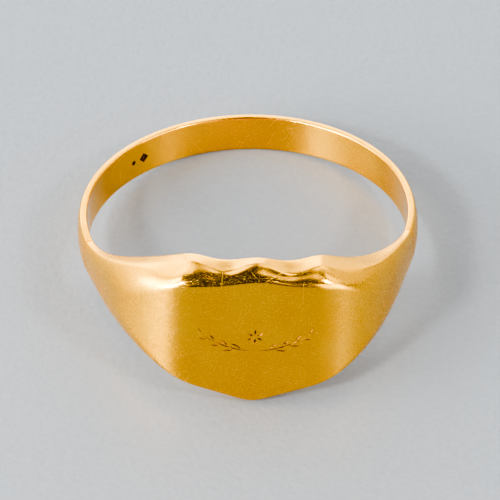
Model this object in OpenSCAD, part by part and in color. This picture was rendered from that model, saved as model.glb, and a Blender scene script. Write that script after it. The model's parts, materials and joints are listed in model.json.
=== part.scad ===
// Shield-faced signet ring, 18 mm bore, lying at rest on a table.
// The shield faces -Y, the finger axis leans back a little from +Z and the lowest points sit at z = 0.

/* [Band] */
// Radius of the finger bore
bore_r = 9.0; // [7.5:0.05:11]
// Width of the plain band along the finger
band_w = 2.24; // [1.5:0.02:4]
// Thickness of the band at its domed crown
band_t = 0.56; // [0.4:0.02:1.6]
// Thickness of the band at its flat rims
rim_t = 0.3; // [0.25:0.01:1.2]
// Angle from the shield's middle at which the shoulders have run out and the band is soldered on
band_from = 74; // [60:1:90]

/* [Shield] */
// Distance of the flat table from the bore's axis
table_y = 10.55; // [9.8:0.05:12.5]
// Height of the middle cusp above the bore's mid plane
cusp_h = 4.45; // [3:0.01:6]
// Height of the two top corners
corner_h = 4.18; // [3:0.01:6]
// Depth of each scallop between a corner and the middle cusp
scallop = 0.235; // [0:0.005:0.6]
// Angle of each top corner from the middle
corner_at = 23; // [18:0.5:28]
// Drop of the shield's point below the mid plane
tip_h = 4.38; // [3:0.01:6]
// Angle at which the lower edge has run out into the band
lower_end = 64; // [50:1:80]
// Thickness that the shoulders swell to beside the table
shoulder_t = 2.26; // [1.5:0.05:3.5]
// Softness of the fold between the table and a shoulder
fold = 0.5; // [0.05:0.01:0.6]
// Rise of the top face from the bore to the cusps' outer edge
flare_h = 0.12; // [0:0.01:0.5]
// Width of the top face at the middle cusp
face_cusp = 0.73; // [0.5:0.01:1.4]
// Width of the top face at the corners
face_corner = 1.02; // [0.6:0.01:1.6]
// Extra width of the top face in the scallops
face_dip = 0.3; // [0:0.01:0.5]
// Extra width at the right corner, taken off at the left one
face_tilt = 0.15; // [-0.3:0.01:0.3]
// Width of the bottom face under the shield
face_low = 1.3; // [0.8:0.05:1.5]
// Turn of the shield out of square with the band
skew = 3.4; // [-6:0.1:6]

/* [Joints] */
// Angle of the band's own joint from the point opposite the shield
seam_off = 5; // [-20:1:20]
// Thickness of each solder film
film = 0.08; // [0.05:0.01:0.2]

/* [Marks] */
// Half the length of the engraved spray
spray_l = 3.35; // [2:0.05:3.5]
// Height of the spray's stems from their foot to their tip
spray_h = 1.4; // [0.6:0.05:2]
// Length of the leaves at the foot of a stem
leaf_l = 0.72; // [0.3:0.02:1]
// Half the width of a leaf's cut
leaf_w = 0.07; // [0.04:0.005:0.15]
// Half the width of a stem's cut
stem_w = 0.05; // [0.03:0.005:0.1]
// Depth of the engraved cuts
line_d = 0.07; // [0.03:0.005:0.15]
// Depth of the punch marks inside the band
punch_d = 0.06; // [0.02:0.01:0.15]

/* [Hidden] */
gold = [0.86, 0.66, 0.30];
solder = [0.90, 0.78, 0.50];
half_w = band_w / 2;
half_film = film / 2 / (bore_r + rim_t) * 180 / PI;   // as an angle
inner_r = bore_r - 0.5;         // the sections reach inside the bore, which is then cut out true
quarter = 8;                    // steps round each rolled edge
low_r = 0.3;                    // the table ends this far above the shield's point
round_share = 0.44;             // share of the band's width in each of its rolled edges
cusp_share = 0.088;             // share of the height in the rolled top edge at the cusp
corner_share = 0.135;           // and at the corners
scallop_share = 0.017;          // less this much in the scallops
low_share = 0.035;              // share in the rolled bottom edge under the shield
crisp_q = 52;                   // how late the rolled top edge starts to turn at its crisp line
crisp_end = 36;                 // angle at which that line has worn away
face_min = 0.04;                // the least metal outside a face
// The ring rests on the shield's point, at the bore, and on the band's lower edge at the back
lean = atan((tip_h - half_w) / (2 * bore_r + rim_t));
lift = tip_h * cos(lean) - bore_r * sin(lean);
push = ((table_y - bore_r - band_t) * cos(lean) + (tip_h - low_r - half_w / 3) * sin(lean)) / 2;
leaves = 7;                     // on each stem
leaf_a = 35;                    // angle between a leaf and its stem
petals = 6;                     // of the flower between the stems

// 1 up to angle a0, 0 from angle a1, a smooth ease between them
function ease(a, a0, a1, p = 1) =
    let (u = min(max((abs(a) - a0) / (a1 - a0), 0), 1)) pow((1 + cos(180 * u)) / 2, p);
// 1 up to a0, 0 from a1, falling fastest at the start
function fall(a, a0, a1, p) = let (u = min(max((abs(a) - a0) / (a1 - a0), 0), 1)) pow(1 - u, p);
// smaller of two lengths, with the corner between them rounded over the length k
function soft_min(p, q, k) = let (h = max(k - abs(p - q), 0) / k) min(p, q) - h * h * k / 4;
function mix(p, q, t) = p + (q - p) * t;
// 0 at the cusp and the corners, 1 at the bottom of a scallop
function bite(a) = abs(a) < corner_at ? pow(sin(180 * abs(a) / corner_at), 2) : 0;

// Height of the top edge at the bore
function top_z(a) = abs(a) < corner_at
    ? mix(cusp_h, corner_h, abs(a) / corner_at) - scallop * bite(a)
    : mix(half_w, corner_h, fall(a, corner_at, band_from, 1.3));
// Drop of the bottom edge, with the point just taken off
function low_z(a) = mix(half_w, tip_h, fall(sqrt(a * a + 4) - 2, 0, lower_end, 1.25));
// Radius of the outside: the table's plane, folded over into the shoulders and the band
function out_r(a) = soft_min(table_y / cos(min(abs(a), 60)),
    bore_r + mix(band_t, shoulder_t, ease(a, 22, band_from, 1.15)), fold);
// Width of the face along the top edge and along the bottom edge, measured out from the bore
function top_face(a) = abs(a) < corner_at
    ? mix(face_cusp, face_corner, abs(a) / corner_at) + face_dip * bite(a) + face_tilt * a / corner_at
    : mix(rim_t, face_corner + sign(a) * face_tilt, ease(a, corner_at, band_from, 1.3));
function low_face(a) = mix(rim_t, face_low, ease(a, 8, band_from, 0.9));
// How far the top face rises from the bore to its outer edge, at the cusps and not in the scallops
function flare(a) = flare_h * (abs(a) < corner_at ? 1 - 1.25 * bite(a) : ease(a, corner_at, 45));
// Angle at the bore that is level with the face's outer edge, as the scallops are filed square
function outer(a) = abs(a) > 40 ? a
    : mix(a, asin((bore_r + top_face(a)) * sin(a) / bore_r), ease(a, 20, 40));
// Share of the section's height that the rolled-over top and bottom edges take
function top_roll(a) = abs(a) < corner_at
    ? mix(cusp_share, corner_share, pow(abs(a) / corner_at, 2)) - scallop_share * bite(a)
    : mix(round_share, corner_share, ease(a, corner_at, 50));
// Where round the rolled top edge its curve starts: later where the face meets it in a crisp line
function crisp(a) = crisp_q * ease(a, corner_at - 3, crisp_end);
function low_roll(a) = mix(round_share, low_share, ease(a, 16, 56));

// One point of the section at angle a, turned with the shield
function place(a, r, z) = let (w = skew * ease(a, 26, band_from - 8))
    [r * sin(a) * cos(w) + z * sin(w), -r * cos(a), z * cos(w) - r * sin(a) * sin(w)];

// The section at angle a: bore, top face, rolled edge, table or dome, rolled edge, bottom face
function section(a) = let (
        zt = top_z(a), zb = low_z(a), r = out_r(a), h = zt + zb,
        ft = min(top_face(a), r - bore_r - face_min), fb = min(low_face(a), r - bore_r - face_min),
        edge_z = top_z(outer(a)) + flare(outer(a)),
        mid_t = zt - top_roll(a) * h, mid_b = low_roll(a) * h - zb)
    concat(
        [place(a, inner_r, zt)],
        [for (i = [0:quarter]) let (q0 = crisp(a), q = mix(q0, 90, i / quarter))
            place(a, bore_r + ft + (r - bore_r - ft) * (sin(q) - sin(q0)) / (1 - sin(q0)),
                mid_t + (edge_z - mid_t) * cos(q) / cos(q0))],
        [for (i = [0:quarter]) let (q = 90 * i / quarter)
            place(a, bore_r + fb + (r - bore_r - fb) * cos(q), mid_b - (mid_b + zb) * sin(q))],
        [place(a, inner_r, -zb)]);

// A closed run of sections from one angle to another
module run(a0, a1, steps) {
    rows = [for (i = [0:steps]) section(mix(a0, a1, i / steps))];
    m = len(rows[0]);
    faces = concat(
        [[for (k = [0:m - 1]) k]],
        [for (i = [0:steps - 1], k = [0:m - 1]) let (l = (k + 1) % m)
            each [[i * m + k, (i + 1) * m + k, (i + 1) * m + l], [i * m + k, (i + 1) * m + l, i * m + l]]],
        [[for (k = [m - 1:-1:0]) steps * m + k]]);
    polyhedron(points = [for (row = rows) each row], faces = faces, convexity = 6);
}

// The plain band from one angle to another, turned about the bore so that its curves are true
module band(a0, a1) {
    rotate([0, 0, a0 - 90]) rotate_extrude(angle = a1 - a0, $fn = 240)
        polygon([for (p = section(180)) [max(p[1], bore_r), p[2]]]);
}

// Everything behind the two shoulder joints
module behind() {
    from = band_from - half_film;
    rotate([0, 0, from - 90]) rotate_extrude(angle = 360 - 2 * from, $fn = 240)
        translate([bore_r - 1, -tip_h]) square([4, 2 * tip_h]);
}

module finger_bore() {
    cylinder(h = 3 * cusp_h, r = bore_r, center = true, $fn = 180);
}

// The right stem, bent up from the shield's middle, and its direction
function stem(t) = [mix(0.15, spray_l, t), -0.8 + (0.1 * t + t * t) * spray_h / 1.1];
function stem_a(t) = let (d = stem(t + 0.01) - stem(t)) atan2(d[1], d[0]);
// A leaf that springs from the stem on one side and bends along it
function leaf(t, side, l, u) = let (
        start = stem_a(t) + side * leaf_a, way = start - side * 14 * u)
    stem(t) + 0.12 * [cos(start), sin(start)] + l * u * [cos(way), sin(way)];

// A V-shaped cut along a path in the table, widest in its middle
module cut_line(path, w) {
    n = len(path);
    rows = [for (i = [0:n - 1])
        let (d = path[min(i + 1, n - 1)] - path[max(i - 1, 0)], s = [-d[1], d[0]] / norm(d),
             k = 0.25 + 0.75 * sin(180 * i / (n - 1)), b = s * w * k)
        [[path[i][0] + b[0], -table_y - line_d, path[i][1] + b[1]],
         [path[i][0] - b[0], -table_y - line_d, path[i][1] - b[1]],
         [path[i][0], -table_y + line_d * k, path[i][1]]]];
    polyhedron(points = [for (row = rows) each row], convexity = 8,
        faces = concat([[0, 1, 2]], [[3 * n - 1, 3 * n - 2, 3 * n - 3]],
            [for (i = [0:n - 2], k = [0:2]) let (p = 3 * i + k, q = 3 * i + (k + 1) % 3)
                each [[p, q + 3, q], [p, p + 3, q + 3]]]));
}

module branch() {
    cut_line([for (i = [0:20]) stem(i / 20)], stem_w);
    for (i = [0:leaves - 1])
        let (t = 0.16 + 0.115 * i, side = i % 2 == 0 ? 1 : -1)
            cut_line([for (k = [0:7]) leaf(t, side, leaf_l * (1 - 0.35 * t), k / 7)], leaf_w);
}

// The spray: two stems with leaves and a flower between them
module spray() {
    rotate([0, skew, 0]) {
        branch();
        mirror([1, 0, 0]) branch();
        for (i = [0:petals - 1])
            let (way = [sin(360 * (i + 0.5) / petals), cos(360 * (i + 0.5) / petals)])
                cut_line([for (k = [0:5]) [0, 0.15] + (0.12 + 0.07 * k) * way], leaf_w);
    }
}

// Plain punch marks inside the band, each at its angle: a lozenge and a dot
module punches() {
    for (p = [[-140.5, 0.32, 4], [-135.5, 0.14, 24]])
        rotate([0, 0, p[0] - 90]) translate([bore_r - 0.5, 0, 0]) rotate([0, 90, 0])
            cylinder(h = 0.5 + punch_d, r = p[1], $fn = p[2]);
}

// Leans the ring back onto the shield's point and the band's lower rim
module at_rest() {
    translate([0, push, lift]) rotate([-lean, 0, 0]) children();
}

module signet_head() {
    color(gold) at_rest() difference() {
        difference() {
            run(-band_from - 4, band_from + 4, 96);
            behind();
        }
        finger_bore();
        spray();
    }
}

module left_shank() {
    color(gold) at_rest() difference() {
        band(-180 - seam_off + half_film, -band_from - half_film);
        punches();
    }
}

module right_shank() {
    color(gold) at_rest() band(band_from + half_film, 180 - seam_off - half_film);
}

module left_shoulder_solder() {
    color(solder) at_rest() band(-band_from - half_film, -band_from + half_film);
}

module right_shoulder_solder() {
    color(solder) at_rest() band(band_from - half_film, band_from + half_film);
}

module back_solder() {
    color(solder) at_rest() band(180 - seam_off - half_film, 180 - seam_off + half_film);
}

signet_head();
left_shank();
right_shank();
left_shoulder_solder();
right_shoulder_solder();
back_solder();
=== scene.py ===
"""A shield-faced signet ring of worn yellow gold, lying at rest on a pale table.

The ring is drawn as sections round the finger bore, in millimetres, and then leaned back
onto the shield's point and the band's lower rim, in metres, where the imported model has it.
"""
import json
import logging
import math
from dataclasses import dataclass
from enum import Enum
from typing import Callable, Sequence

import bpy
from mathutils import Matrix, Vector


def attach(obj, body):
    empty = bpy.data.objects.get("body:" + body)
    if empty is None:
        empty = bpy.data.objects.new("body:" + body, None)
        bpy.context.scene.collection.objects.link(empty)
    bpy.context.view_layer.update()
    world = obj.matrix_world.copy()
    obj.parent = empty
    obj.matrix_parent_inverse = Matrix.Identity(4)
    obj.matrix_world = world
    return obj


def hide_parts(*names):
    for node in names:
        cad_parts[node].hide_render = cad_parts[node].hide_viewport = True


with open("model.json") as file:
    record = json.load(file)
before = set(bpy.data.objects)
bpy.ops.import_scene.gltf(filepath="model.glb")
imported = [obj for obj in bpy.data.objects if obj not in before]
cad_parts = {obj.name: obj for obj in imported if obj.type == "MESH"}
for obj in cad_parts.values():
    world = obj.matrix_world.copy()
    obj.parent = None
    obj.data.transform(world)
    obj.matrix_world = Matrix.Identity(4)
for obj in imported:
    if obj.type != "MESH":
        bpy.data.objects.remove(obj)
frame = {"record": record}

LOG = logging.getLogger("signet_ring")
MM = 0.001
MERGE = 1e-7
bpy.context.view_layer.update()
BORE_MOUNT = next(m for m in frame["record"]["mounts"] if m["name"] == "finger_bore")


# ---------------------------------------------------------------- small helpers


def mix(start: float, end: float, share: float) -> float:
    """Return the value a share of the way from start to end."""
    return start + (end - start) * share


def ease(angle: float, full: float, gone: float, power: float = 1.0) -> float:
    """Fall smoothly from 1 to 0 as an angle grows.

    Args:
        angle: angle from the shield's middle, in degrees, either way.
        full: angle up to which the result is 1.
        gone: angle from which it is 0.
        power: over 1 makes the fall quicker at first.

    Returns:
        A share from 0 to 1.
    """
    share = min(max((abs(angle) - full) / (gone - full), 0.0), 1.0)
    return ((1 + math.cos(math.pi * share)) / 2) ** power


def fall(angle: float, full: float, gone: float, power: float) -> float:
    """Fall from 1 to 0 as an angle grows, quickest at the start.

    Args:
        angle: angle from the shield's middle, in degrees, either way.
        full: angle up to which the result is 1.
        gone: angle from which it is 0.
        power: how hollow the fall is.

    Returns:
        A share from 0 to 1.
    """
    share = min(max((abs(angle) - full) / (gone - full), 0.0), 1.0)
    return (1 - share) ** power


def soft_min(first: float, second: float, blend: float) -> float:
    """Return the smaller of two lengths, less a quarter of blend where they are equal."""
    return (first + second - math.hypot(first - second, blend / 2)) / 2


def heading(angle: float) -> Vector:
    """Return a flat vector of length 1 that points at an angle, in degrees."""
    return Vector((math.cos(math.radians(angle)), math.sin(math.radians(angle))))


def steps(start: float, end: float, count: int) -> list[float]:
    """Return count + 1 evenly spaced values from start to end."""
    return [mix(start, end, i / count) for i in range(count + 1)]


def deselect() -> None:
    """Leave object mode with nothing selected."""
    if bpy.context.object and bpy.context.object.mode != "OBJECT":
        bpy.ops.object.mode_set(mode="OBJECT")
    bpy.ops.object.select_all(action="DESELECT")


def select(piece: bpy.types.Object) -> None:
    """Make one piece the only selected and active one."""
    deselect()
    piece.select_set(True)
    bpy.context.view_layer.objects.active = piece


def edit_all(piece: bpy.types.Object, *jobs: Callable[[], object]) -> None:
    """Run edit-mode operators on the whole of a piece's mesh.

    Args:
        piece: the mesh object.
        *jobs: calls to make in order, each with everything selected first.
    """
    select(piece)
    bpy.ops.object.mode_set(mode="EDIT")
    for job in jobs:
        bpy.ops.mesh.select_all(action="SELECT")
        job()
    bpy.ops.object.mode_set(mode="OBJECT")


def apply_modifier(piece: bpy.types.Object, kind: str, **settings: object) -> None:
    """Add a modifier, set it up and apply it.

    Args:
        piece: the object it works on.
        kind: Blender's name for the modifier's type.
        **settings: the modifier's properties.
    """
    select(piece)
    modifier = piece.modifiers.new(kind.title(), kind)
    for name, value in settings.items():
        setattr(modifier, name, value)
    bpy.ops.object.modifier_apply(modifier=modifier.name)


# ---------------------------------------------------------------- the ring's form


@dataclass(frozen=True)
class RingForm:
    """The ring's driving sizes in millimetres and degrees, and the curves that follow from them.

    Angles run round the bore from the shield's middle, positive to the right of somebody who
    faces the shield. Heights run along the bore from its mid plane.
    """

    bore_r: float = BORE_MOUNT["dims"]["r_mm"]
    band_w: float = 2.24
    band_t: float = 0.56
    rim_t: float = 0.30
    band_from: float = 74.0
    table_y: float = 10.55
    cusp_h: float = 4.45
    corner_h: float = 4.18
    scallop: float = 0.235
    corner_at: float = 23.0
    top_power: float = 1.3
    tip_h: float = 4.38
    tip_blunt: float = 2.0
    lower_end: float = 64.0
    low_power: float = 1.25
    shoulder_t: float = 2.26
    shoulder_from: float = 22.0
    shoulder_power: float = 1.15
    table_end: float = 60.0
    fold: float = 0.5
    flare_h: float = 0.12
    flare_bite: float = 1.25
    flare_end: float = 45.0
    face_cusp: float = 0.73
    face_corner: float = 1.02
    face_dip: float = 0.3
    face_tilt: float = 0.15
    face_power: float = 1.3
    face_low: float = 1.3
    low_face_from: float = 8.0
    low_face_power: float = 0.9
    face_min: float = 0.04
    round_share: float = 0.44
    cusp_share: float = 0.088
    corner_share: float = 0.135
    scallop_share: float = 0.017
    roll_end: float = 50.0
    low_share: float = 0.035
    low_roll_from: float = 16.0
    low_roll_end: float = 56.0
    crisp_q: float = 52.0
    crisp_blend: float = 3.0
    crisp_end: float = 36.0
    square_from: float = 20.0
    square_end: float = 40.0
    skew: float = 3.4
    skew_from: float = 26.0
    skew_run_out: float = 8.0
    seam_off: float = 5.0
    film: float = 0.08
    inner_round: float = 0.09
    crisp_round: float = 0.07
    crisp_step: float = 0.1
    wear: float = 2.8
    bore_wear: float = 2.4
    bore_wear_end: float = 46.0
    face_worn: float = 0.9
    unworn: float = 6.0

    @property
    def half_w(self) -> float:
        """Half the band's width."""
        return self.band_w / 2

    @property
    def half_film(self) -> float:
        """Half a solder film, as an angle."""
        return math.degrees(self.film / 2 / (self.bore_r + self.rim_t))

    def bite(self, angle: float) -> float:
        """Measure how deep in a scallop an angle is.

        Args:
            angle: angle round the bore, in degrees.

        Returns:
            0 at the middle cusp and the corners, and 1 at the bottom of a scallop.
        """
        if abs(angle) >= self.corner_at:
            return 0.0
        return math.sin(math.pi * abs(angle) / self.corner_at) ** 2

    def top_z(self, angle: float) -> float:
        """Work out the height of the top edge at the bore.

        Args:
            angle: angle round the bore, in degrees.

        Returns:
            Millimetres above the mid plane.
        """
        if abs(angle) < self.corner_at:
            straight = mix(self.cusp_h, self.corner_h, abs(angle) / self.corner_at)
            return straight - self.scallop * self.bite(angle)
        share = fall(angle, self.corner_at, self.band_from, self.top_power)
        return mix(self.half_w, self.corner_h, share)

    def low_z(self, angle: float) -> float:
        """Return the drop of the bottom edge, with the shield's point just taken off."""
        blunt = math.hypot(angle, self.tip_blunt) - self.tip_blunt
        return mix(self.half_w, self.tip_h, fall(blunt, 0, self.lower_end, self.low_power))

    def out_r(self, angle: float) -> float:
        """Work out the outside's radius: the flat table folded over into shoulders and band.

        Args:
            angle: angle round the bore, in degrees.

        Returns:
            Millimetres from the bore's axis.
        """
        table = self.table_y / math.cos(math.radians(min(abs(angle), self.table_end)))
        share = ease(angle, self.shoulder_from, self.band_from, self.shoulder_power)
        return soft_min(table, self.bore_r + mix(self.band_t, self.shoulder_t, share), self.fold)

    def top_face(self, angle: float) -> float:
        """Work out the width of the face along the top edge.

        Args:
            angle: angle round the bore, in degrees.

        Returns:
            Millimetres outwards from the bore.
        """
        if abs(angle) < self.corner_at:
            straight = mix(self.face_cusp, self.face_corner, abs(angle) / self.corner_at)
            tilt = self.face_tilt * angle / self.corner_at
            return straight + self.face_dip * self.bite(angle) + tilt
        corner = self.face_corner + math.copysign(self.face_tilt, angle)
        return mix(self.rim_t, corner, ease(angle, self.corner_at, self.band_from, self.face_power))

    def low_face(self, angle: float) -> float:
        """Return the width of the face along the bottom edge."""
        share = ease(angle, self.low_face_from, self.band_from, self.low_face_power)
        return mix(self.rim_t, self.face_low, share)

    def flare(self, angle: float) -> float:
        """Work out how far the top face rises from the bore to its outer edge.

        Args:
            angle: angle round the bore, in degrees.

        Returns:
            Millimetres, a little under 0 at the bottom of a scallop.
        """
        if abs(angle) < self.corner_at:
            return self.flare_h * (1 - self.flare_bite * self.bite(angle))
        return self.flare_h * ease(angle, self.corner_at, self.flare_end)

    def top_roll(self, angle: float) -> float:
        """Work out how much of the section's height the rolled-over top edge takes.

        Args:
            angle: angle round the bore, in degrees.

        Returns:
            A share of the height.
        """
        if abs(angle) < self.corner_at:
            share = mix(self.cusp_share, self.corner_share, (angle / self.corner_at) ** 2)
            return share - self.scallop_share * self.bite(angle)
        return mix(self.round_share, self.corner_share, ease(angle, self.corner_at, self.roll_end))

    def low_roll(self, angle: float) -> float:
        """Return the share of the section's height that the rolled-over bottom edge takes."""
        share = ease(angle, self.low_roll_from, self.low_roll_end)
        return mix(self.round_share, self.low_share, share)

    def crisp(self, angle: float) -> float:
        """Return where round the rolled top edge its curve starts, later at a crisp line."""
        return self.crisp_q * ease(angle, self.corner_at - self.crisp_blend, self.crisp_end)

    def outer(self, angle: float) -> float:
        """Find the bore angle level with the face's outer edge, as the scallops are filed square.

        Args:
            angle: angle round the bore, in degrees.

        Returns:
            The angle, in degrees.
        """
        if abs(angle) > self.square_end:
            return angle
        side = (self.bore_r + self.top_face(angle)) * math.sin(math.radians(angle)) / self.bore_r
        share = ease(angle, self.square_from, self.square_end)
        return mix(angle, math.degrees(math.asin(side)), share)

    def softened(self, angle: float, wear: float) -> list[tuple[float, float]]:
        """Average the sections next to an angle, the nearest counting most.

        Args:
            angle: angle round the bore, in degrees.
            wear: how far each way the farthest section is, in degrees.

        Returns:
            Radius and height of each point.
        """
        weights = (1, 4, 6, 4, 1)
        near = [self.crisp_section(angle + wear * k / 2) for k in (-2, -1, 0, 1, 2)]
        return [
            tuple(sum(w * p[i] for w, p in zip(weights, points)) / sum(weights) for i in (0, 1))
            for points in zip(*near)
        ]

    def section(self, angle: float) -> list[tuple[float, float]]:
        """Work out the outline of the worn metal at one angle, worn most at the top of the bore.

        Args:
            angle: angle round the bore, in degrees.

        Returns:
            Radius and height of each point, up the bore, out over the top and back below.
        """
        if abs(angle) > self.band_from - self.unworn:
            return self.crisp_section(angle)
        more = self.bore_wear * ease(angle, self.bore_wear_end, self.band_from - self.unworn)
        outline = []
        for near, far in zip(self.softened(angle, self.wear), self.softened(angle, self.wear + more)):
            share = ease(near[0], self.bore_r, self.bore_r + self.face_worn) if near[1] > 0 else 0.0
            outline.append((mix(near[0], far[0], share), mix(near[1], far[1], share)))
        return outline

    def crisp_section(self, angle: float) -> list[tuple[float, float]]:
        """Work out the closed outline of the metal at one angle.

        Args:
            angle: angle round the bore, in degrees.

        Returns:
            Radius and height of each point, up the bore, out over the top and back below.
        """
        bore, top, low = self.bore_r, self.top_z(angle), self.low_z(angle)
        out, height, soft = self.out_r(angle), top + low, self.inner_round
        face = bore + min(self.top_face(angle), out - bore - self.face_min)
        under = bore + min(self.low_face(angle), out - bore - self.face_min)
        edge = self.top_z(self.outer(angle)) + self.flare(self.outer(angle))
        mid_top = top - self.top_roll(angle) * height
        mid_low = self.low_roll(angle) * height - low
        first = math.radians(self.crisp(angle))

        def roll(q: float) -> tuple[float, float]:
            """Return the point at angle q round the rolled top edge."""
            share = (math.sin(q) - math.sin(first)) / (1 - math.sin(first))
            rise = (edge - mid_top) * math.cos(q) / math.cos(first)
            return mix(face, out, share), mid_top + rise

        points = [(bore, z) for z in steps(soft - low, top - soft, 13)]
        points += [
            (bore + soft * (1 - math.cos(q)), top - soft * (1 - math.sin(q)))
            for q in steps(0, math.pi / 2, 5)[1:]
        ]
        start = face - self.crisp_round
        slope = (edge - top) / (face - bore - soft)
        points += [(r, top + slope * (r - bore - soft)) for r in steps(bore + soft, start, 8)[1:]]
        crisp_end = mix(first, math.pi / 2, self.crisp_step)
        before, after = points[-1], roll(crisp_end)
        for t in steps(0, 1, 4)[1:]:
            points.append(
                tuple(
                    (1 - t) ** 2 * p + 2 * t * (1 - t) * c + t * t * q
                    for p, c, q in zip(before, (face, edge), after)
                )
            )
        points += [roll(q) for q in steps(crisp_end, math.pi / 2, 16)[1:]]
        points += [(out, z) for z in steps(mid_top, mid_low, 22)[1:]]
        points += [
            (mix(under, out, math.cos(q)), mid_low - (mid_low + low) * math.sin(q))
            for q in steps(0, math.pi / 2, 14)[1:]
        ]
        points += [(r, -low) for r in steps(under, bore + soft, 7)[1:]]
        points += [
            (bore + soft * (1 - math.sin(q)), soft * (1 - math.cos(q)) - low)
            for q in steps(0, math.pi / 2, 5)[1:-1]
        ]
        return points

    def place(self, angle: float, radius: float, height: float) -> Vector:
        """Put a point of the section where it belongs round the bore.

        Args:
            angle: angle round the bore, in degrees.
            radius: distance from the bore's axis, in millimetres.
            height: height along the bore, in millimetres.

        Returns:
            The point at rest, in metres, turned with the shield.
        """
        turn = math.radians(angle)
        twist = math.radians(self.skew)
        twist *= ease(angle, self.skew_from, self.band_from - self.skew_run_out)
        side, away = radius * math.sin(turn), -radius * math.cos(turn)
        across = side * math.cos(twist) + height * math.sin(twist)
        return at_rest(Vector((across, away, height * math.cos(twist) - side * math.sin(twist))))

    def on_table(self, across: float, up: float, proud: float = 0.0) -> Vector:
        """Return the place of a point on the shield's table.

        Args:
            across: millimetres to the right of the shield's middle.
            up: millimetres above it.
            proud: millimetres in front of the table.

        Returns:
            The point at rest, in metres.
        """
        twist = math.radians(self.skew)
        x = across * math.cos(twist) + up * math.sin(twist)
        z = up * math.cos(twist) - across * math.sin(twist)
        return at_rest(Vector((x, -self.table_y - proud, z)))


BORE_AXIS = Vector(BORE_MOUNT["axis"])
BORE_CENTRE = Vector(BORE_MOUNT["pos_m"])
LEAN = Matrix.Rotation(-math.atan2(BORE_AXIS.y, BORE_AXIS.z), 4, "X")
REST = Matrix.Translation(BORE_CENTRE) @ LEAN @ Matrix.Scale(MM, 4)


def at_rest(point: Vector) -> Vector:
    """Take a point of the ring in millimetres to its place on the table in metres."""
    return REST @ point


FORM = RingForm()


# ---------------------------------------------------------------- finishes


class Slot(Enum):
    """The record's material slots."""

    HEAD = "head_gold"
    SHANK = "shank_gold"
    SOLDER = "gold_solder"


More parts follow.
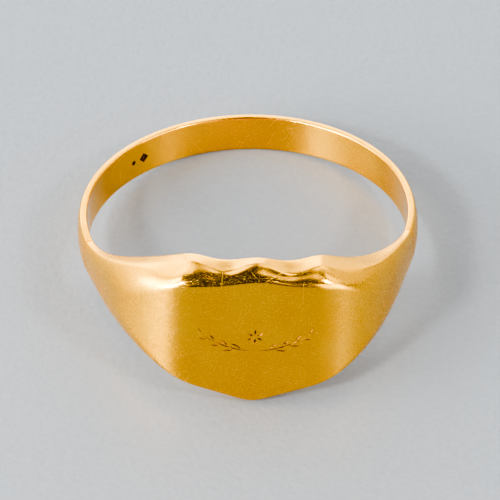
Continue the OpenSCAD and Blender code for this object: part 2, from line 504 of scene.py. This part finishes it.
class NodeBench:
    """Adds shader nodes to one material and wires them up."""

    def __init__(self, name: str) -> None:
        """Start an empty node material with a Principled shader.

        Args:
            name: the material's name.
        """
        self.material = bpy.data.materials.new(name)
        self.material.use_nodes = True
        self.tree = self.material.node_tree
        self.tree.nodes.clear()
        self.shader = self.tree.nodes.new("ShaderNodeBsdfPrincipled")
        output = self.tree.nodes.new("ShaderNodeOutputMaterial")
        self.tree.links.new(self.shader.outputs["BSDF"], output.inputs["Surface"])
        place = self.tree.nodes.new("ShaderNodeTexCoord")
        upright = self.add("ShaderNodeMapping", Vector=place.outputs["Object"])
        upright.vector_type = "TEXTURE"
        upright.inputs["Location"].default_value = BORE_CENTRE
        upright.inputs["Rotation"].default_value = LEAN.to_euler()
        upright.inputs["Scale"].default_value = (MM,) * 3
        self.place = upright.outputs["Vector"]

    def add(self, kind: str, **inputs: object) -> bpy.types.Node:
        """Add a node.

        Args:
            kind: Blender's type name for the node.
            **inputs: values or sockets for its inputs, by name with _ for a space.

        Returns:
            The node.
        """
        node = self.tree.nodes.new(kind)
        for name, value in inputs.items():
            self.set(node.inputs[name.replace("_", " ")], value)
        return node

    def set(self, socket: bpy.types.NodeSocket, value: object) -> None:
        """Give a socket a value or a link.

        Args:
            socket: the input to set.
            value: a plain value, or another socket to link from.
        """
        if isinstance(value, bpy.types.NodeSocket):
            self.tree.links.new(value, socket)
        else:
            socket.default_value = value

    def math(self, operation: str, *values: object) -> bpy.types.NodeSocket:
        """Add a Math node and return its result.

        Args:
            operation: Blender's name for the operation.
            *values: numbers or sockets, in order.

        Returns:
            The result's socket.
        """
        node = self.tree.nodes.new("ShaderNodeMath")
        node.operation = operation
        for socket, value in zip(node.inputs, values):
            self.set(socket, value)
        return node.outputs[0]

    def vector(self, operation: str, *values: object) -> bpy.types.Node:
        """Add a Vector Math node.

        Args:
            operation: Blender's name for the operation.
            *values: vectors, numbers or sockets, in order.

        Returns:
            The node.
        """
        node = self.tree.nodes.new("ShaderNodeVectorMath")
        node.operation = operation
        for socket, value in zip(node.inputs, values):
            self.set(socket, value)
        return node

    def noise(self, scale: float, detail: float = 3.0) -> bpy.types.NodeSocket:
        """Return a noise's grey value, around a half, with features of 1 / scale millimetres."""
        kind = "ShaderNodeTexNoise"
        return self.add(kind, Vector=self.place, Scale=scale, Detail=detail).outputs[0]

    def band(self, value: bpy.types.NodeSocket, low: float, high: float) -> bpy.types.NodeSocket:
        """Measure how far a value has risen, smoothly.

        Args:
            value: the value's socket.
            low: where the result is 0.
            high: where it is 1, which may be the smaller number.

        Returns:
            The result's socket, kept from 0 to 1.
        """
        node = self.add("ShaderNodeMapRange", Value=value)
        node.interpolation_type = "SMOOTHSTEP"
        node.inputs["From Min"].default_value = low
        node.inputs["From Max"].default_value = high
        return node.outputs["Result"]

    def streaks(
        self, turn: float, tilt: float, length: float, width: float, share: float
    ) -> bpy.types.NodeSocket:
        """Draw long faint hairlines that all run one way.

        Args:
            turn: the way they run, in degrees round the table's normal.
            tilt: how far that way leans out of the table, in degrees.
            length: about how long a line is, in millimetres.
            width: about how wide it is, in millimetres.
            share: how much of the surface they take up, from 0 to 1.

        Returns:
            1 in a line and 0 elsewhere.
        """
        turned = self.add("ShaderNodeMapping", Vector=self.place)
        turned.inputs["Rotation"].default_value = (0, math.radians(turn), math.radians(tilt))
        pulled = (1 / length, 1 / width, 1 / width)
        drawn = self.vector("MULTIPLY", turned.outputs["Vector"], pulled).outputs[0]
        grain = self.add("ShaderNodeTexNoise", Vector=drawn, Scale=1.0, Detail=1.0).outputs[0]
        rarest, commonest, softness = 0.765, 0.465, 0.035
        edge = mix(rarest, commonest, share)
        return self.band(grain, edge, edge + softness)

    def scratches(self, scale: float, width: float, share: float) -> bpy.types.NodeSocket:
        """Draw short straight scratches, one in each cell of a Voronoi pattern, each its own way.

        Args:
            scale: cells per millimetre, so a line is about 1 / scale long.
            width: half the line's width, in millimetres.
            share: share of the cells that hold a line.

        Returns:
            1 in a line and 0 elsewhere.
        """
        cells = self.add("ShaderNodeTexVoronoi", Vector=self.place, Scale=scale)
        scaled = self.vector("SCALE", self.place)
        scaled.inputs["Scale"].default_value = scale
        inside = self.vector("SUBTRACT", scaled.outputs[0], cells.outputs["Position"])
        centred = self.vector("SUBTRACT", cells.outputs["Color"], (0.5, 0.5, 0.5))
        across = self.vector("NORMALIZE", centred.outputs[0])
        along = self.vector("DOT_PRODUCT", inside.outputs[0], across.outputs[0])
        gap = self.math("ABSOLUTE", along.outputs["Value"])
        line = self.band(gap, width * scale, width * scale * 0.25)
        split = self.add("ShaderNodeSeparateColor", Color=cells.outputs["Color"])
        held = self.math("LESS_THAN", split.outputs[1], share)
        return self.math("MULTIPLY", line, held)

    def pits(self, scale: float, radius: float, share: float) -> bpy.types.NodeSocket:
        """Draw small round pits.

        Args:
            scale: cells per millimetre.
            radius: a pit's radius, in millimetres.
            share: share of the cells that hold a pit.

        Returns:
            1 in a pit and 0 elsewhere.
        """
        cells = self.add("ShaderNodeTexVoronoi", Vector=self.place, Scale=scale)
        dot = self.band(cells.outputs["Distance"], radius * scale, radius * scale * 0.5)
        split = self.add("ShaderNodeSeparateColor", Color=cells.outputs["Color"])
        return self.math("MULTIPLY", dot, self.math("LESS_THAN", split.outputs[0], share))

    def blend(self, share: object, first: object, second: object) -> bpy.types.NodeSocket:
        """Mix two colours.

        Args:
            share: how much of the second there is, from 0 to 1.
            first: a colour or its socket.
            second: a colour or its socket.

        Returns:
            The mixed colour's socket.
        """
        node = self.tree.nodes.new("ShaderNodeMix")
        node.data_type = "RGBA"
        sockets = (node.inputs[0], node.inputs[6], node.inputs[7])
        for socket, value in zip(sockets, (share, first, second)):
            self.set(socket, value)
        return node.outputs[2]


Colour = tuple[float, float, float, float]


@dataclass(frozen=True)
class WornGold:
    """Yellow gold worn to a soft polish, with haze, crossing hairlines, nicks and a few pits."""

    name: str
    clean: Colour = (1.0, 0.52, 0.050, 1)
    deep: Colour = (0.97, 0.475, 0.032, 1)
    # Hairline colour: partly fresh metal's own colour, partly a painted glint for the light the lines
    # catch.
    fresh_metal_and_glint: Colour = (1.0, 0.62, 0.14, 1)
    # The colour inside the pits, a dark brown.
    pit_colour: Colour = (0.16, 0.07, 0.02, 1)
    polish: float = 0.13
    satin: float = 0.23
    haze: float = 0.05
    pit_rough: float = 0.4
    front: tuple[float, float] = (9.75, 10.1)
    sides: tuple[float, float] = (4.5, 3.8)
    bore: tuple[float, float] = (9.12, 9.02)
    line_runs: Sequence[tuple[float, float, float]] = (
        (38, 8, 0.22), (-27, -6, 0.2), (72, 14, 0.14), (-64, 10, 0.16), (8, 4, 0.12),
    )
    line_length: float = 3.0
    line_width: float = 0.024
    line_tone: float = 0.6
    line_rough: float = 0.16
    line_depth: float = 0.0013
    swell: float = 0.010
    grain: float = 0.0003
    pit_depth: float = 0.02

    def kept_bright(self, bench: NodeBench) -> bpy.types.NodeSocket:
        """Find where the gold has kept its polish.

        Args:
            bench: the material's nodes.

        Returns:
            1 on the table and in the bore, and 0 where the gold is satin.
        """
        spot = bench.add("ShaderNodeSeparateXYZ", Vector=bench.place)
        ahead = bench.band(bench.math("MULTIPLY", spot.outputs["Y"], -1.0), *self.front)
        beside = bench.band(bench.math("ABSOLUTE", spot.outputs["X"]), *self.sides)
        flat = bench.vector("MULTIPLY", bench.place, (1.0, 1.0, 0.0)).outputs[0]
        inside = bench.band(bench.vector("LENGTH", flat).outputs["Value"], *self.bore)
        return bench.math("MAXIMUM", bench.math("MULTIPLY", ahead, beside), inside)

    def lines(self, bench: NodeBench) -> bpy.types.NodeSocket:
        """Draw the hairlines and the scratches.

        Args:
            bench: the material's nodes.

        Returns:
            1 in a line and 0 elsewhere.
        """
        layers = [
            bench.streaks(turn, tilt, self.line_length, self.line_width, share)
            for turn, tilt, share in self.line_runs
        ]
        layers += [bench.scratches(0.8, 0.011, 0.7), bench.scratches(1.9, 0.008, 0.45)]
        found = layers[0]
        for layer in layers[1:]:
            found = bench.math("MAXIMUM", found, layer)
        return found

    def material(self) -> bpy.types.Material:
        """Build the node material.

        Returns:
            The material.
        """
        bench = NodeBench(self.name)
        cloud = bench.noise(0.5, 4)
        fine = bench.noise(7.0, 3)
        lines = self.lines(bench)
        pits = bench.pits(1.0, 0.035, 0.08)

        tone = bench.blend(bench.band(cloud, 0.36, 0.68), self.clean, self.deep)
        # Hairlines and scratches are coloured lighter: partly fresh metal, partly a painted glint
        # standing in for the light they catch.
        tone = bench.blend(bench.math("MULTIPLY", lines, self.line_tone), tone, self.fresh_metal_and_glint)
        # The pits are coloured dark brown.
        tone = bench.blend(pits, tone, self.pit_colour)
        bench.set(bench.shader.inputs["Base Color"], tone)
        bench.shader.inputs["Metallic"].default_value = 1.0

        bright = bench.math("MULTIPLY", self.kept_bright(bench), self.satin - self.polish)
        rough = bench.math("SUBTRACT", self.satin, bright)
        for pattern, amount in (
            (bench.band(cloud, 0.3, 0.7), self.haze),
            (bench.band(fine, 0.35, 0.75), 0.8 * self.haze),
            (lines, self.line_rough),
            (pits, self.pit_rough),
        ):
            rough = bench.math("ADD", rough, bench.math("MULTIPLY", pattern, amount))
        bench.set(bench.shader.inputs["Roughness"], rough)

        relief = bench.math("MULTIPLY", bench.noise(0.45, 2), self.swell)
        for pattern, rise in (
            (bench.noise(9.0, 3), self.grain),
            (lines, -self.line_depth),
            (pits, -self.pit_depth),
        ):
            relief = bench.math("ADD", relief, bench.math("MULTIPLY", pattern, rise))
        bump = bench.add("ShaderNodeBump", Height=relief, Distance=MM)
        bench.set(bench.shader.inputs["Normal"], bump.outputs["Normal"])
        return bench.material


@dataclass(frozen=True)
class CutGold:
    """Gold at the bottom of an engraved line or a punch mark, coloured dark as painted shade in the
    cut, in two tones that vary at random.
    """

    name: str
    # Painted shade: both cut colours are dark so the engraved lines and punch marks read as shaded
    # grooves.
    bright: Colour = (0.24, 0.10, 0.016, 1)
    darker_cut_shade: Colour = (0.09, 0.038, 0.010, 1)
    rough: float = 0.42
    dark_patch_rough: float = 0.3
    tool_marks: float = 0.004

    def material(self) -> bpy.types.Material:
        """Build the node material.

        Returns:
            The material.
        """
        bench = NodeBench(self.name)
        grain = bench.band(bench.noise(5.0, 4), 0.4, 0.62)
        # The cut faces get the two dark painted-shade colours, mixed at random by the grain.
        bench.set(bench.shader.inputs["Base Color"], bench.blend(grain, self.bright, self.darker_cut_shade))
        bench.shader.inputs["Metallic"].default_value = 1.0
        rough = bench.math("ADD", self.rough, bench.math("MULTIPLY", grain, self.dark_patch_rough))
        bench.set(bench.shader.inputs["Roughness"], rough)
        bump = bench.add("ShaderNodeBump", Height=bench.noise(9.0, 2), Distance=self.tool_marks * MM)
        bench.set(bench.shader.inputs["Normal"], bump.outputs["Normal"])
        return bench.material


@dataclass(frozen=True)
class PaleTable:
    """The plain pale grey top that the ring lies on, with a low sheen and a faint grain."""

    name: str = "pale_grey_top"
    light: Colour = (0.258, 0.276, 0.294, 1)
    shade: Colour = (0.244, 0.262, 0.280, 1)
    rough: float = 0.33
    relief: float = 0.03

    def material(self) -> bpy.types.Material:
        """Build the node material.

        Returns:
            The material.
        """
        bench = NodeBench(self.name)
        grain = bench.noise(3.0, 5)
        tone = bench.blend(bench.band(grain, 0.3, 0.7), self.light, self.shade)
        bench.set(bench.shader.inputs["Base Color"], tone)
        bench.shader.inputs["Roughness"].default_value = self.rough
        bump = bench.add("ShaderNodeBump", Height=grain, Distance=self.relief * MM)
        bench.set(bench.shader.inputs["Normal"], bump.outputs["Normal"])
        return bench.material


# ---------------------------------------------------------------- sub-assemblies


def finish_piece(piece: bpy.types.Object, node: str, smooth: float = 40.0) -> None:
    """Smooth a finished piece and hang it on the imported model.

    Args:
        piece: the object, with its place in its mesh.
        node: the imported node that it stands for.
        smooth: angle under which faces shade as one, in degrees.
    """
    select(piece)
    bpy.ops.object.shade_smooth_by_angle(angle=math.radians(smooth))
    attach(piece, "root")
    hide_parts(node)


def cut_with(piece: bpy.types.Object, cutters: Sequence[bpy.types.Object]) -> None:
    """Cut tools out of a piece and take the tools away.

    Args:
        piece: the object to be cut.
        cutters: closed meshes, each with the material of the cut's own faces.
    """
    for cutter in cutters:
        apply_modifier(
            piece, "BOOLEAN", operation="DIFFERENCE", object=cutter, solver="EXACT",
            material_mode="TRANSFER",
        )
        bpy.data.objects.remove(cutter)


def close_up(piece: bpy.types.Object) -> None:
    """Merge a piece's doubled points and turn its faces outwards."""
    edit_all(
        piece,
        lambda: bpy.ops.mesh.remove_doubles(threshold=MERGE),
        lambda: bpy.ops.mesh.normals_make_consistent(inside=False),
    )


@dataclass
class Shield:
    """The head: shield table, scalloped top edge and both shoulders, with the engraved spray."""

    cut: bpy.types.Material
    form: RingForm = FORM
    columns: int = 372
    spray_l: float = 3.35
    spray_h: float = 1.4
    spray_foot: float = -0.8
    stem_from: float = 0.15
    stem_start: float = 0.1
    stem_w: float = 0.13
    leaves: int = 7
    leaf_from: float = 0.16
    leaf_step: float = 0.115
    leaf_l: float = 0.72
    leaf_shrink: float = 0.35
    leaf_w: float = 0.16
    leaf_gap: float = 0.12
    leaf_a: float = 35.0
    leaf_bend: float = 14.0
    petals: int = 6
    petal_l: float = 0.35
    flower_r: float = 0.12
    flower_z: float = 0.15
    cut_end: float = 0.2
    cut_power: float = 0.8
    cut_depth: float = 0.9
    finish: WornGold = WornGold("head_gold_worn")

    def skin(self) -> bpy.types.Object:
        """Wrap a grid round the head's sections and close its ends.

        Returns:
            The head as one closed mesh.
        """
        end = self.form.band_from - self.form.half_film
        rows = len(self.form.section(0))
        deselect()
        bpy.ops.mesh.primitive_grid_add(x_subdivisions=self.columns, y_subdivisions=rows, size=1)
        piece = bpy.context.object
        piece.name = "engraved_shield_head"
        angles = steps(-end, end, self.columns)
        outlines = [self.form.section(a) for a in angles]
        for vertex in piece.data.vertices:
            column = round((vertex.co.x + 0.5) * self.columns)
            row = round((vertex.co.y + 0.5) * rows) % rows
            radius, height = outlines[column][row]
            vertex.co = self.form.place(angles[column], radius, height)
        edit_all(
            piece,
            lambda: bpy.ops.mesh.remove_doubles(threshold=MERGE),
            lambda: bpy.ops.mesh.fill_holes(sides=0),
            lambda: bpy.ops.mesh.normals_make_consistent(inside=False),
        )
        return piece

    def stem(self, share: float) -> Vector:
        """Return a point of the right stem, which bends up from the shield's middle."""
        bent = (self.stem_start * share + share * share) / (self.stem_start + 1)
        return Vector((mix(self.stem_from, self.spray_l, share), self.spray_foot + self.spray_h * bent))

    def leaf(self, share: float, side: int) -> list[Vector]:
        """Work out the path of one leaf's cut.

        Args:
            share: how far along the stem it springs.
            side: 1 above the stem and -1 below it.

        Returns:
            Points across and up the table, in millimetres.
        """
        run = self.stem(share + 0.01) - self.stem(share)
        first = math.degrees(math.atan2(run.y, run.x)) + side * self.leaf_a
        foot = self.stem(share) + self.leaf_gap * heading(first)
        length = self.leaf_l * (1 - self.leaf_shrink * share)
        bend = side * self.leaf_bend
        return [foot + length * u * heading(first - bend * u) for u in steps(0, 1, 11)]

    def spray(self) -> list[tuple[list[Vector], float]]:
        """Draw the spray: two leafy stems and a flower between them.

        Returns:
            The path and the greatest width of each cut.
        """
        cuts = [([self.stem(t) for t in steps(0, 1, 40)], self.stem_w)]
        for i in range(self.leaves):
            side = 1 if i % 2 == 0 else -1
            cuts.append((self.leaf(self.leaf_from + self.leaf_step * i, side), self.leaf_w))
        cuts += [([Vector((-p.x, p.y)) for p in path], width) for path, width in cuts]
        flower = Vector((0, self.flower_z))
        for i in range(self.petals):
            way = heading(360 * (i + 0.5) / self.petals)
            petal = [flower + (self.flower_r + self.petal_l * u) * way for u in steps(0, 1, 8)]
            cuts.append((petal, self.leaf_w))
        return cuts

    def graver(self, path: Sequence[Vector], width: float) -> bpy.types.Object:
        """Make the tool for one engraved cut, widest in its middle.

        Args:
            path: points across and up the table, in millimetres.
            width: the cut's greatest width.

        Returns:
            A closed four-sided bar along the path, half sunk in the table.
        """
        data = bpy.data.curves.new("graver_cut", "CURVE")
        data.dimensions = "2D"
        data.fill_mode = "NONE"
        data.bevel_depth = width / 2
        data.bevel_resolution = 0
        data.use_fill_caps = True
        line = data.splines.new("POLY")
        line.points.add(len(path) - 1)
        for i, (point, spot) in enumerate(zip(line.points, path)):
            point.co = (spot.x, spot.y, 0, 1)
            swell = math.sin(math.pi * i / (len(path) - 1)) ** self.cut_power
            point.radius = mix(self.cut_end, 1.0, swell)
        tool = bpy.data.objects.new("graver_cut", data)
        bpy.context.scene.collection.objects.link(tool)
        select(tool)
        bpy.ops.object.convert(target="MESH")
        tool = bpy.context.object
        for vertex in tool.data.vertices:
            across, up, proud = vertex.co
            vertex.co = self.form.on_table(across, up, self.cut_depth * proud)
        tool.data.materials.append(self.cut)
        close_up(tool)
        return tool

    def engrave(self, piece: bpy.types.Object) -> None:
        """Cut the spray into the table.

        Args:
            piece: the head.
        """
        tools = [self.graver(path, width) for path, width in self.spray()]
        deselect()
        for tool in tools:
            tool.select_set(True)
        bpy.context.view_layer.objects.active = tools[0]
        bpy.ops.object.join()
        cut_with(piece, tools[:1])

    def build(self) -> bpy.types.Object:
        """Make the head, engrave it and dress it.

        Returns:
            The finished head.
        """
        piece = self.skin()
        piece.data.materials.append(self.finish.material())
        self.engrave(piece)
        finish_piece(piece, "signet_head")
        return piece


@dataclass
class BandPart:
    """A stretch of the plain band, turned round the bore from its own section."""

    name: str
    node: str
    start: float
    end: float
    finish: WornGold
    cut: bpy.types.Material
    slot: Slot = Slot.SHANK
    shrink: float = 0.0
    marks: Sequence[tuple[float, float, int]] = ()
    mark_depth: float = 0.06
    punch_l: float = 1.0
    face_turn: float = 0.75
    form: RingForm = FORM

    def turned(self) -> bpy.types.Object:
        """Set a circle to the band's section and spin it round the bore.

        Returns:
            The stretch of band as a closed mesh.
        """
        outline = self.form.section(180)
        middle = self.form.bore_r + self.form.rim_t / 2
        outline = [(mix(r, middle, self.shrink), mix(z, 0, self.shrink)) for r, z in outline]
        deselect()
        bpy.ops.mesh.primitive_circle_add(vertices=len(outline), fill_type="NGON")
        piece = bpy.context.object
        piece.name = self.name
        for vertex, (radius, height) in zip(piece.data.vertices, outline):
            vertex.co = self.form.place(self.start, radius, height)
        count = max(2, round((self.end - self.start) / self.face_turn))
        edit_all(
            piece,
            lambda: bpy.ops.mesh.spin(
                steps=count, angle=math.radians(self.end - self.start), center=BORE_CENTRE,
                axis=-BORE_AXIS.normalized(),
            ),
        )
        edit_all(piece, lambda: bpy.ops.mesh.fill_holes(sides=0))
        close_up(piece)
        return piece

    def punch(self, angle: float, radius: float, sides: int) -> bpy.types.Object:
        """Make the tool for one punch mark inside the band.

        Args:
            angle: where it is round the bore.
            radius: half its width.
            sides: 4 for a lozenge and more for a dot.

        Returns:
            A short bar standing on the bore.
        """
        deselect()
        bpy.ops.mesh.primitive_cylinder_add(
            vertices=sides, radius=radius * MM, depth=self.punch_l * MM
        )
        tool = bpy.context.object
        turn = math.radians(angle)
        out = Vector((math.sin(turn), -math.cos(turn), 0))
        face = out.to_track_quat("Z", "Y").to_matrix().to_4x4()
        middle = out * (self.form.bore_r + self.mark_depth - self.punch_l / 2)
        tool.data.transform(Matrix.Translation(at_rest(middle)) @ LEAN @ face)
        tool.data.materials.append(self.cut)
        return tool

    def build(self) -> bpy.types.Object:
        """Make the stretch, punch it and dress it.

        Returns:
            The finished stretch.
        """
        piece = self.turned()
        piece.data.materials.append(self.finish.material())
        cut_with(piece, [self.punch(*mark) for mark in self.marks])
        finish_piece(piece, self.node)
        return piece


@dataclass
class Band:
    """The band: two arms and the three solder films that join them and the head."""

    cut: bpy.types.Material
    form: RingForm = FORM
    left: WornGold = WornGold("left_shank_gold")
    right: WornGold = WornGold("right_shank_gold")
    joint: WornGold = WornGold(
        "solder_gold", clean=(0.98, 0.535, 0.060, 1), deep=(0.95, 0.49, 0.045, 1)
    )
    joint_shrink: float = 0.02
    lozenge: tuple[float, float, int] = (-140.5, 0.32, 4)
    dot: tuple[float, float, int] = (-135.5, 0.14, 24)

    def parts(self) -> list[BandPart]:
        """List the stretches of band.

        Returns:
            The left arm, the right arm and the three films.
        """
        gap = self.form.half_film
        begin, seam = self.form.band_from, 180 - self.form.seam_off
        left = (seam - 360 + gap, -begin - gap)
        right = (begin + gap, seam - gap)
        marks = (self.lozenge, self.dot)
        films = (
            ("left_joint_film", "left_shoulder_solder", -begin),
            ("right_joint_film", "right_shoulder_solder", begin),
            ("back_joint_film", "back_solder", seam),
        )
        arms = [
            BandPart("left_band_arm", "left_shank", *left, self.left, self.cut, marks=marks),
            BandPart("right_band_arm", "right_shank", *right, self.right, self.cut),
        ]
        return arms + [
            BandPart(
                name, node, at - gap, at + gap, self.joint, self.cut, Slot.SOLDER, self.joint_shrink
            )
            for name, node, at in films
        ]

    def build(self) -> list[bpy.types.Object]:
        """Make every stretch."""
        return [part.build() for part in self.parts()]


# ---------------------------------------------------------------- the setting


@dataclass(frozen=True)
class Panel:
    """A soft square light panel that faces the ring.

    The bearing runs from the camera's side, 0, to the right, 90, and round behind, 180. The glow
    is how bright the panel looks, whatever its side.
    """

    name: str
    bearing: float
    height: float
    glow: float
    side: float
    reach: float = 0.6

    def build(self) -> bpy.types.Object:
        """Hang the panel and turn it to the ring.

        Returns:
            The light.
        """
        turn, lift = math.radians(self.bearing), math.radians(self.height)
        level = Vector((math.sin(turn), -math.cos(turn), 0))
        place = self.reach * (math.cos(lift) * level + math.sin(lift) * Vector((0, 0, 1)))
        data = bpy.data.lights.new(self.name, "AREA")
        data.shape = "RECTANGLE"
        data.size = data.size_y = self.side
        data.energy = self.glow * math.pi * self.side ** 2
        panel = bpy.data.objects.new(self.name, data)
        bpy.context.scene.collection.objects.link(panel)
        panel.location = place
        panel.rotation_euler = (-place).to_track_quat("-Z", "Y").to_euler()
        return panel


@dataclass
class Studio:
    """The pale table top, the light panels and the camera.

    The key stands low on the left, a low wall of panels behind, dimmer at its ends, and two rows
    of smaller ones above. Little comes from the front, so the scallops' edge stays dark.
    """

    elevation: float = 36.4
    azimuth: float = -1.5
    roll: float = 1.2
    reach: float = 220.0
    view_w: float = 28.12
    aim: tuple[float, float] = (0.135, -1.417)
    sensor: float = 36.0
    clip: tuple[float, float] = (0.01, 10.0)
    floor_side: float = 3.0
    sky: Colour = (0.05, 0.05, 0.05, 1)
    low: float = 14.0
    low_side: float = 0.30
    wide_side: float = 0.40
    high: float = 42.0
    high_side: float = 0.24
    upper: float = 66.0
    upper_side: float = 0.21
    spot_side: float = 0.08

    def panels(self) -> list[Panel]:
        """List the light panels.

        Returns:
            The panels, low ones first.
        """
        rows = (
            (self.low, self.low_side, (
                ("left_front_key", 300, 19),
                ("left_panel", 270, 6.5),
                ("back_wall_left", 240, 2),
                ("back_wall_middle_left", 210, 3.5),
                ("back_wall_middle_right", 180, 3.5),
                ("back_wall_right", 150, 1.5),
                ("right_front_panel", 60, 4.5),
                ("front_right_panel", 30, 2.5),
                ("front_left_panel", 330, 0.5),
            )),
            (self.high, self.high_side, (
                ("high_left_front_panel", 315, 0.5),
                ("high_left_panel", 270, 6.5),
                ("high_left_back_panel", 225, 3.5),
                ("high_back_panel", 180, 0.5),
                ("high_right_back_panel", 135, 2.5),
                ("high_right_panel", 90, 2),
            )),
            (self.upper, self.upper_side, (
                ("upper_left_back_panel", 225, 2.5),
                ("upper_right_back_panel", 135, 2.5),
                ("upper_right_front_panel", 45, 1),
            )),
        )
        around = [
            Panel(name, bearing, height, glow, side)
            for height, side, row in rows
            for name, bearing, glow in row
        ]
        around.append(Panel("right_wide_panel", 112, self.low, 0.8, self.wide_side))
        return around + [
            Panel("left_corner_spot", 312, 40, 95, self.spot_side),
            Panel("right_corner_spot", 50, 42, 60, self.spot_side),
        ]

    def floor(self) -> bpy.types.Object:
        """Lay the table top.

        Returns:
            The table top.
        """
        deselect()
        bpy.ops.mesh.primitive_plane_add(size=self.floor_side)
        top = bpy.context.object
        top.name = "table_top"
        edit_all(top, lambda: bpy.ops.mesh.subdivide(number_cuts=4))
        top.data.materials.append(PaleTable().material())
        return top

    def world(self) -> None:
        """Set a dim even surround."""
        world = bpy.data.worlds.new("dim_room")
        world.use_nodes = True
        world.node_tree.nodes["Background"].inputs["Color"].default_value = self.sky
        bpy.context.scene.world = world

    def camera(self) -> bpy.types.Object:
        """Set the camera over the shield, in front of the leaning bore.

        Returns:
            The camera.
        """
        tilt, turn, roll = (math.radians(v) for v in (self.elevation, self.azimuth, self.roll))
        level = Vector((math.sin(turn), -math.cos(turn), 0))
        back = math.cos(tilt) * level + math.sin(tilt) * Vector((0, 0, 1))
        flat = (-back).cross(Vector((0, 0, 1))).normalized()
        upright = flat.cross(-back)
        right = math.cos(roll) * flat - math.sin(roll) * upright
        up = math.sin(roll) * flat + math.cos(roll) * upright
        aim = right * self.aim[0] + up * self.aim[1]
        axes = Matrix((right, up, back)).transposed().to_4x4()
        data = bpy.data.cameras.new("ring_camera")
        data.sensor_width = self.sensor
        data.lens = self.sensor * self.reach / self.view_w
        data.clip_start, data.clip_end = self.clip
        camera = bpy.data.objects.new("ring_camera", data)
        bpy.context.scene.collection.objects.link(camera)
        camera.matrix_world = Matrix.Translation(at_rest(aim + back * self.reach)) @ LEAN @ axes
        bpy.context.scene.camera = camera
        return camera

    def tones(self) -> None:
        """Set the contrast at which the gold's deep and pale tones part."""
        view = bpy.context.scene.view_settings
        view.view_transform = "AgX"
        view.look = "AgX - Very High Contrast"

    def build(self) -> None:
        """Set up everything that isn't the ring."""
        self.floor()
        self.world()
        for panel in self.panels():
            panel.build()
        self.camera()
        self.tones()


def main() -> None:
    """Build the ring and its setting."""
    logging.basicConfig(level=logging.INFO, format="%(name)s: %(message)s")
    engraved = CutGold("engraved_gold").material()
    for piece in (Shield(engraved).build(), *Band(engraved).build()):
        LOG.info("%s: %d faces", piece.name, len(piece.data.polygons))
    Studio().build()


if __name__ == "__main__":
    main()
